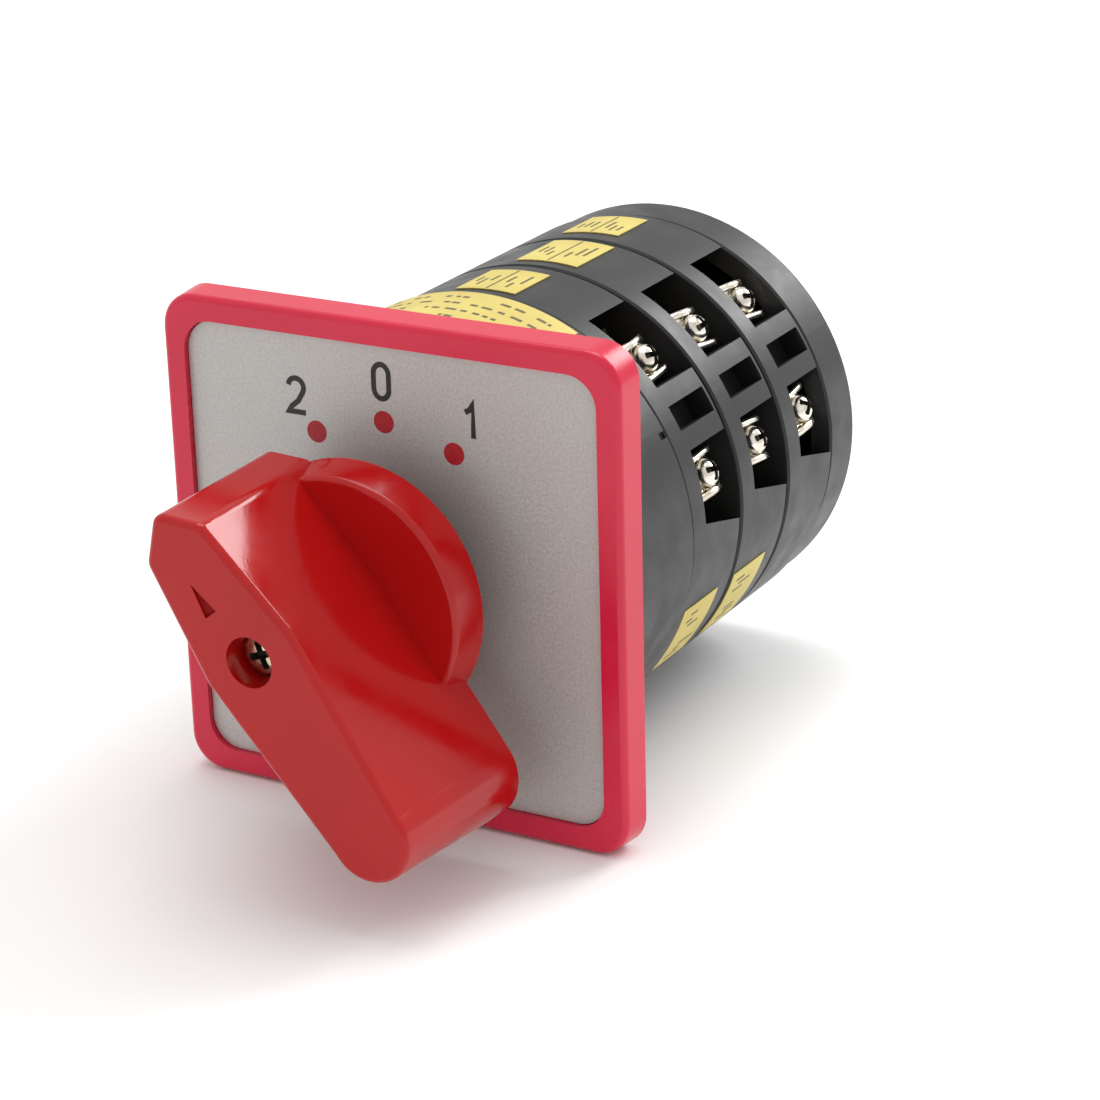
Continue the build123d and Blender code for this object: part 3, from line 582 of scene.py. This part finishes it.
def make_rating_marks():
    """Rows of plain bars that stand for the small print."""
    draw = random.Random(7)
    radius = RATING_HIGH.z + MARK_LIFT
    bars = []
    for row in range(RATING_ROWS):
        front = RATING_LOW.y + RATING_MARGIN + RATING_PITCH * row
        angle = RATING_START + draw.uniform(0, RATING_INDENT)
        while angle < RATING_STOP:
            width = draw.uniform(*RATING_WIDTHS)
            if draw.random() < RATING_SHARE:
                bars.append(patch(radius, angle, min(angle + width, RATING_EDGE), front, front + RATING_BAR))
            angle += width + draw.uniform(*RATING_GAPS)
    make_marks("rating_marks", bars)


def sticker_spans():
    """Each stage sticker's angles above +X and depths, read from its node's vertices."""
    spans = {}
    for vertex in nodes["stage_labels"].data.vertices:
        angle = math.degrees(math.atan2(vertex.co.z, vertex.co.x))
        depth = vertex.co.y
        sticker_key = (max(number for number in STAGES if depth > STAGE_START[number]), angle > UPPER_ABOVE)
        low, high, front, rear = spans.get(sticker_key, (360, -360, math.inf, -math.inf))
        spans[sticker_key] = (min(low, angle), max(high, angle), min(front, depth), max(rear, depth))
    return spans


def make_stage_marks():
    """A line down the middle of each upper sticker, and small plain strokes in every cell."""
    radius = STAGE_RADIUS + STICKER_TOP + MARK_LIFT
    draw = random.Random(11)
    bars = []
    for (_, upper), (low, high, front, rear) in sticker_spans().items():
        if upper:
            middle = (low + high) / 2
            ends = (front + DIVIDER_MARGIN, rear - DIVIDER_MARGIN)
            bars.append(patch(radius, middle - DIVIDER_HALF, middle + DIVIDER_HALF, *ends))
        for cell in CELLS:
            for column in STROKE_COLUMNS:
                angle = low + cell * (high - low) + column
                start = front + draw.uniform(*STROKE_STARTS) * (rear - front)
                stop = start + draw.uniform(*STROKE_LENGTHS) * (rear - front)
                bars.append(patch(radius, angle - STROKE_HALF_ANGLE, angle + STROKE_HALF_ANGLE, start, stop))
    make_marks("stage_marks", bars)


# ---------------------------------------------------------------- screws
def pan_head(size, turn):
    """A domed screw head with a cross recess, and its shank: local vertices, faces and which are recessed."""
    count = HEAD_SIDES
    profile = (
        (size["shank"], -size["length"]),
        (size["shank"], 0),
        (size["radius"], 0),
        (size["radius"], size["rim"]),
    )
    vertices = [Vector((0, 0, -size["length"]))]
    sunk = [False]
    for radius, height in profile:
        for x, y in arc((0, 0), (radius, radius), 0, 360, count)[:-1]:
            vertices.append(Vector((x, y, height)))
            sunk.append(False)
    for ring in range(HEAD_RINGS - 1, 0, -1):
        radius = size["radius"] * ring / HEAD_RINGS
        dome = size["rim"] + (size["height"] - size["rim"]) * math.sqrt(1 - (ring / HEAD_RINGS) ** 2)
        for x, y in arc((0, 0), (radius, radius), 0, 360, count)[:-1]:
            cross = min(abs(x), abs(y)) < size["slot"] and max(abs(x), abs(y)) < size["reach"]
            vertices.append(Vector((x, y, dome - (size["depth"] if cross else 0))))
            sunk.append(cross)
    vertices.append(Vector((0, 0, size["height"] - size["depth"])))
    sunk.append(True)
    faces = [(0, 1 + (i + 1) % count, 1 + i) for i in range(count)]
    layers = len(profile) + HEAD_RINGS - 1
    for layer in range(layers - 1):
        for i in range(count):
            a, b = 1 + layer * count + i, 1 + layer * count + (i + 1) % count
            faces.append((a, b, b + count, a + count))
    last = 1 + (layers - 1) * count
    faces += [(last + i, last + (i + 1) % count, len(vertices) - 1) for i in range(count)]
    recessed = [any(sunk[i] for i in face) for face in faces]
    return [Matrix.Rotation(turn, 3, "Z") @ v for v in vertices], faces, recessed


def paint_recess_shade(piece, recessed):
    """Gives the recessed faces of a screw painted shade: a dark, dull colour standing in for the shadow in
    the cross recess.
    """
    piece.data.materials.append(RECESS_PAINTED_SHADE)
    for face, dark in zip(piece.data.polygons, recessed):
        face.material_index = int(dark)


def make_handle_screw():
    """The pan head screw at the bottom of the handle's bore, its head towards the front."""
    local, faces, recessed = pan_head(HANDLE_SCREW, HANDLE_SCREW_TURN)
    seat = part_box("handle_screw")[1].y - HANDLE_SCREW["length"]
    vertices = [Vector((v.x, seat - v.z, v.y)) for v in local]
    finish = MATERIALS["handle_screw_nickel"]
    piece = new_piece("handle_screw_detailed", vertices, faces, finish, body="rotor")
    paint_recess_shade(piece, recessed)
    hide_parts("handle_screw")


# ---------------------------------------------------------------- arrow
def make_arrow_painted_shade():
    """A dark red sheet of painted shade on the floor of the arrow pressed into the handle, standing in for
    the shadow of its walls.
    """
    handle = nodes["handle"].data
    floor_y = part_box("handle")[0].y + ARROW_DEPTH
    corners = []
    for face in handle.polygons:
        if face.normal.y < -0.99 and abs(face.center.y - floor_y) < ARROW_FLOOR_PLAY:
            corners += [handle.vertices[i].co.copy() for i in face.vertices]
    middle = sum(corners, Vector()) / len(corners)
    foot = [middle + ARROW_SHADE_FOOT * (corner - middle) for corner in corners]
    lift = Vector((0, -ARROW_SHADE_THICKNESS, 0))
    top = [middle + ARROW_SHADE_TOP * (corner - middle) + lift for corner in corners]
    count = len(corners)
    sides = [(i, (i + 1) % count, count + (i + 1) % count, count + i) for i in range(count)]
    faces = [tuple(range(count)), tuple(range(count, 2 * count))] + sides
    new_piece("handle_arrow_painted_shade", foot + top, faces, ARROW_PAINTED_SHADE, body="rotor")


# ---------------------------------------------------------------- terminals
def terminal_point(side, edge, stage, height, across, along):
    """A point at a terminal: height out of the drum, across away from the rib, along to the rear."""
    place = P_AXIS * (side * height) + Q_AXIS * (edge * (TERMINAL_Q + across))
    return place + Vector((0, TERMINAL_Y[stage] + along, 0))


def make_terminal_screws(stage):
    """Four pan heads, each slot at an angle of its own."""
    draw = random.Random(stage)
    vertices, faces, recessed = [], [], []
    for side in SIDES:
        for edge in SIDES:
            start = len(vertices)
            local, local_faces, local_recessed = pan_head(TERMINAL_SCREW, draw.uniform(0, math.pi / 2))
            vertices += [terminal_point(side, edge, stage, HEAD_SEAT + v.z, v.x, v.y) for v in local]
            faces += [tuple(start + i for i in face) for face in local_faces]
            recessed += local_recessed
    name = f"terminal_screws_{stage}"
    piece = new_piece(f"{name}_detailed", vertices, faces, MATERIALS["terminal_nickel"])
    paint_recess_shade(piece, recessed)
    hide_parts(name)


def clamp_line():
    """Section of a saddle clamp's sheet: its middle line as (across, height), from lip to lip."""
    half = CLAMP_HALF - CLAMP_SHEET / 2
    low = CLAMP_SHEET / 2
    lip = (half + CLAMP_FLARE, CLAMP_HEIGHT)
    lip_middle = (half + LIP_MIDDLE[0] * CLAMP_FLARE, LIP_MIDDLE[1] * CLAMP_HEIGHT)
    bend = arc((half - CLAMP_BEND, low + CLAMP_BEND), (CLAMP_BEND, CLAMP_BEND), 0, -90, 6)
    right = [lip, lip_middle] + bend
    return right + [(0, low)] + [(-x, z) for x, z in reversed(right)]


def clamp_points(side, edge, stage, turn):
    """Rows of points across one clamp, from its front end to its rear end."""
    points = []
    for station in range(CLAMP_STATIONS):
        share = 2 * station / (CLAMP_STATIONS - 1) - 1
        along = share * CLAMP_DEPTH / 2
        for across, height in clamp_line():
            if across > 0:
                height *= OUTER_LIP * (1 - OUTER_LIP_DROP * share**2)
            else:
                height *= 1 - RIB_LIP_DROP * share**6
            turned_across = across * math.cos(turn) - along * math.sin(turn)
            turned_along = across * math.sin(turn) + along * math.cos(turn)
            points.append(terminal_point(side, edge, stage, BLOCK_TOP + height, turned_across, turned_along))
    return points


def make_clamps(stage):
    """Bent sheet saddles: a long lip beside the rib, a short ear on the other side, each turned a little."""
    width = len(clamp_line())
    draw = random.Random(20 + stage)
    vertices, faces = [], []
    for side in SIDES:
        for edge in SIDES:
            start = len(vertices)
            vertices += clamp_points(side, edge, stage, draw.uniform(-CLAMP_PLAY, CLAMP_PLAY))
            for station in range(CLAMP_STATIONS - 1):
                for i in range(width - 1):
                    a = start + station * width + i
                    faces.append((a, a + 1, a + width + 1, a + width))
    name = f"clamp_washers_{stage}"
    finish = MATERIALS["terminal_nickel"]
    piece = new_piece(f"{name}_bent", vertices, faces, finish, smooth=True)
    sheet = piece.modifiers.new("sheet", "SOLIDIFY")
    sheet.thickness = CLAMP_SHEET
    sheet.offset = 0
    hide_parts(name)


# ---------------------------------------------------------------- springs
def make_contact_spring(stage, letter):
    """A copy of the spring's CAD mesh with its transform baked in, shown in place of the CAD node."""
    name = f"contact_spring_{stage}{letter}"
    node = nodes[name]
    piece = bpy.data.objects.new(f"{name}_flexing", node.data.copy())
    bpy.context.scene.collection.objects.link(piece)
    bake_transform(piece)
    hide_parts(name)


make_camera()
make_studio()
paint_frame()
make_legend_print()
make_rating_marks()
make_stage_marks()
make_handle_screw()
make_arrow_painted_shade()
for number in STAGES:
    make_terminal_screws(number)
    make_clamps(number)
    for contact in "ab":
        make_contact_spring(number, contact)
